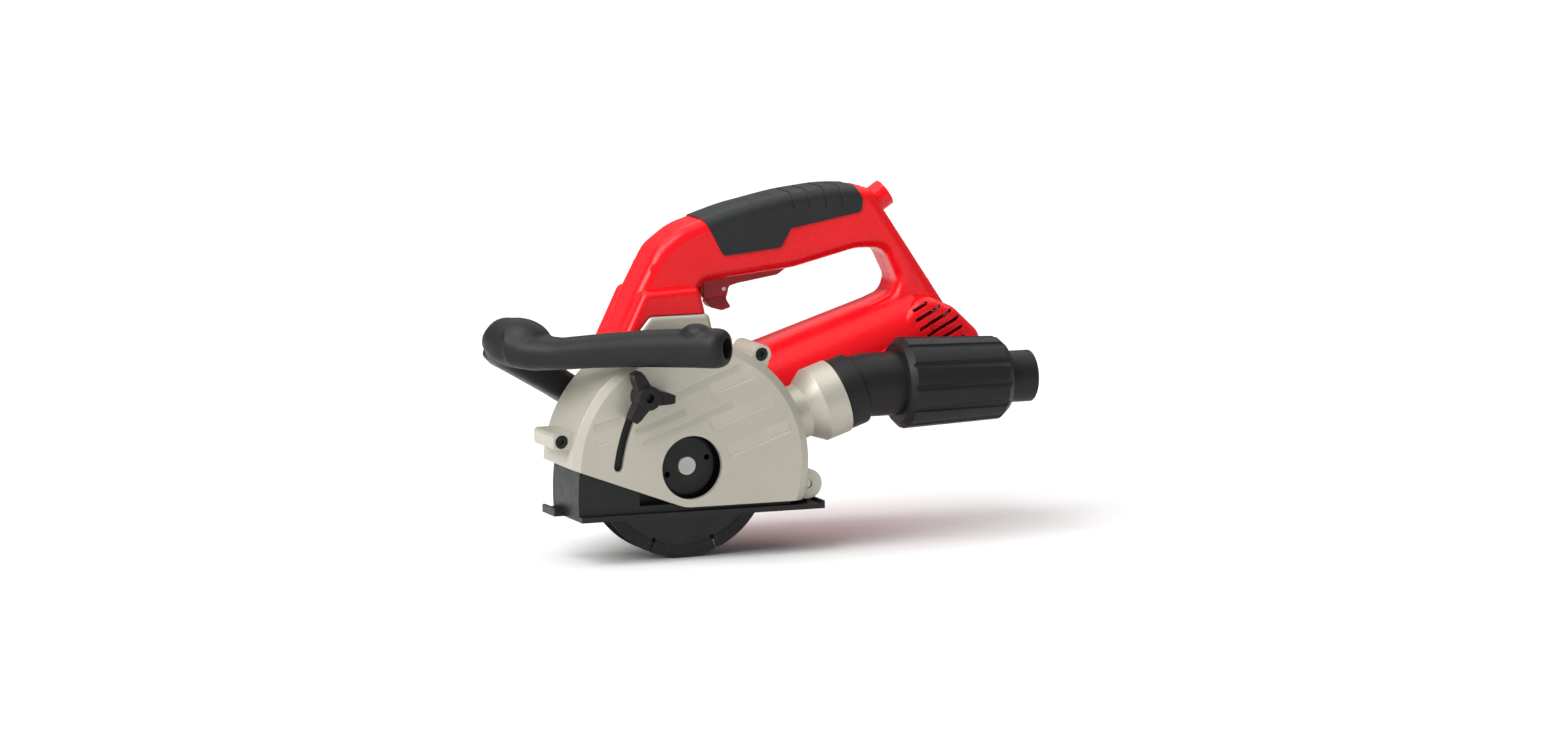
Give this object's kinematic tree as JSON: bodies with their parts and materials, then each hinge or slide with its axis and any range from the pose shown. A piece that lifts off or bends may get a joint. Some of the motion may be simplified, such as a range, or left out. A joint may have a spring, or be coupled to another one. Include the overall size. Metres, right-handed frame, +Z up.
{
  "type": "wall chaser",
  "caption": "Twin-disc masonry wall chaser: cast guard with swinging depth shoe, bevel gearhead, motor in a D-handle clamshell, side handle and swivelling dust outlet.",
  "frame": {"origin": "underside of the sole below the shoe's pivot, midway between the two discs", "axes": "+X to the rear, where the dust outlet leaves; +Y away from the removable guard cover, towards the motor; +Z up, out of the wall that is cut"},
  "size_m": [0.3798, 0.2038, 0.2362],
  "materials": {
    "cast_aluminium": "bead-blasted pressure casting, clear lacquered",
    "red_plastic": "red glass-filled nylon, satin gloss",
    "dark_red_plastic": "dark red nylon",
    "black_plastic": "black glass-filled nylon, fine moulded grain",
    "grip_rubber": "soft black elastomer",
    "black_steel": "black stoved paint on steel sheet",
    "disc_steel": "charcoal coated steel core, sintered diamond rim",
    "bright_steel": "turned and ground steel",
    "zinc_steel": "zinc plated fasteners",
    "gear_steel": "hardened gear steel, oiled",
    "lamination_iron": "varnished laminated iron",
    "copper": "enamelled copper wire, varnished",
    "brass": "drawn brass",
    "carbon": "pressed carbon",
    "seal_rubber": "nitrile rubber",
    "electronics": "potted electronics case"
  },
  "bodies": {
    "machine": {"guard_cover": "cast_aluminium", "guard_base": "cast_aluminium", "guard_screws": "black_steel", "guard_mount_screws": "zinc_steel", "shoe_pivot_pin": "bright_steel", "gearhead": "cast_aluminium", "gearhead_screws": "zinc_steel", "bearing_flange": "cast_aluminium", "spindle_front_bearing": "bright_steel", "spindle_rear_bearing": "bright_steel", "rotor_front_bearing": "bright_steel", "rotor_rear_bearing": "bright_steel", "stator_core": "lamination_iron", "field_coils": "copper", "brush_holders": "brass", "carbon_brushes": "carbon", "brush_springs": "bright_steel", "housing_near": "red_plastic", "housing_far": "red_plastic", "housing_screws": "zinc_steel", "grip_pad_near": "grip_rubber", "grip_pad_far": "grip_rubber", "cable_bushing": "seal_rubber", "trigger_pin": "bright_steel", "switch_module": "electronics", "speed_electronics": "electronics", "dust_port": "cast_aluminium", "front_handle": "black_plastic", "handle_bolts": "zinc_steel"},
    "shoe": {"depth_shoe": "black_steel", "sole_plate": "black_steel", "sole_rivets": "black_steel", "depth_stud": "black_steel", "depth_washer": "zinc_steel"},
    "depth_knob": {"depth_knob": "black_plastic"},
    "spindle": {"spindle": "bright_steel", "crown_gear": "gear_steel", "inner_flange": "bright_steel", "near_disc": "disc_steel", "far_disc": "disc_steel", "disc_spacer": "bright_steel", "flange_nut": "black_steel"},
    "rotor": {"armature_shaft": "bright_steel", "armature_core": "lamination_iron", "armature_windings": "copper", "commutator": "copper", "fan": "black_plastic", "pinion": "gear_steel"},
    "trigger": {"trigger": "dark_red_plastic", "lock_off_pin": "bright_steel"},
    "lock_off": {"lock_off_lever": "dark_red_plastic"},
    "spindle_lock": {"spindle_lock_button": "black_plastic"},
    "dust_elbow": {"dust_elbow": "black_plastic", "elbow_seal": "seal_rubber"},
    "dust_swivel": {"dust_sleeve": "black_plastic", "hose_spigot": "black_plastic"}
  },
  "joints": [
    {"name": "shoe_swing", "type": "hinge", "parent": "machine", "child": "shoe", "pos_m": [0, 0, 0.0158], "axis": [0, -1, 0], "range_deg": [0, 20.5]},
    {"name": "knob_turn", "type": "hinge", "parent": "shoe", "child": "depth_knob", "pos_m": [-0.12222, -0.035, 0.08327], "axis": [0, -1, 0], "range_deg": [0, 360]},
    {"name": "spindle_spin", "type": "hinge", "parent": "machine", "child": "spindle", "pos_m": [-0.086, 0, 0.0328], "axis": [0, 1, 0], "continuous": true},
    {"name": "rotor_spin", "type": "hinge", "parent": "machine", "child": "rotor", "pos_m": [-0.086, 0.067, 0.0328], "axis": [0.9397, 0, 0.342], "continuous": true},
    {"name": "trigger_squeeze", "type": "hinge", "parent": "machine", "child": "trigger", "pos_m": [0.0135, 0.067, 0.1558], "axis": [0, 1, 0], "range_deg": [0, 5], "stiffness_Nm_per_rad": 4, "springref_deg": -4.58},
    {"name": "lock_off_swing", "type": "hinge", "parent": "trigger", "child": "lock_off", "pos_m": [-0.0295, 0.067, 0.1391], "axis": [0, 1, 0], "range_deg": [0, 15], "stiffness_Nm_per_rad": 0.2, "springref_deg": -11.46},
    {"name": "spindle_lock_press", "type": "slide", "parent": "machine", "child": "spindle_lock", "axis": [1, 0, 0], "range_m": [0, 0.0024], "stiffness_N_per_m": 900, "springref_m": -0.003},
    {"name": "dust_elbow_swivel", "type": "hinge", "parent": "machine", "child": "dust_elbow", "pos_m": [-0.086, 0, 0.0328], "axis": [0.9483, 0, 0.3173], "range_deg": [-180, 0]},
    {"name": "dust_sleeve_turn", "type": "hinge", "parent": "dust_elbow", "child": "dust_swivel", "pos_m": [0.072, 0, 0.0773], "axis": [1, 0, 0], "continuous": true}
  ],
  "couplings": [
    {"joint": "rotor_spin", "follows": "spindle_spin", "ratio": 4}
  ]
}
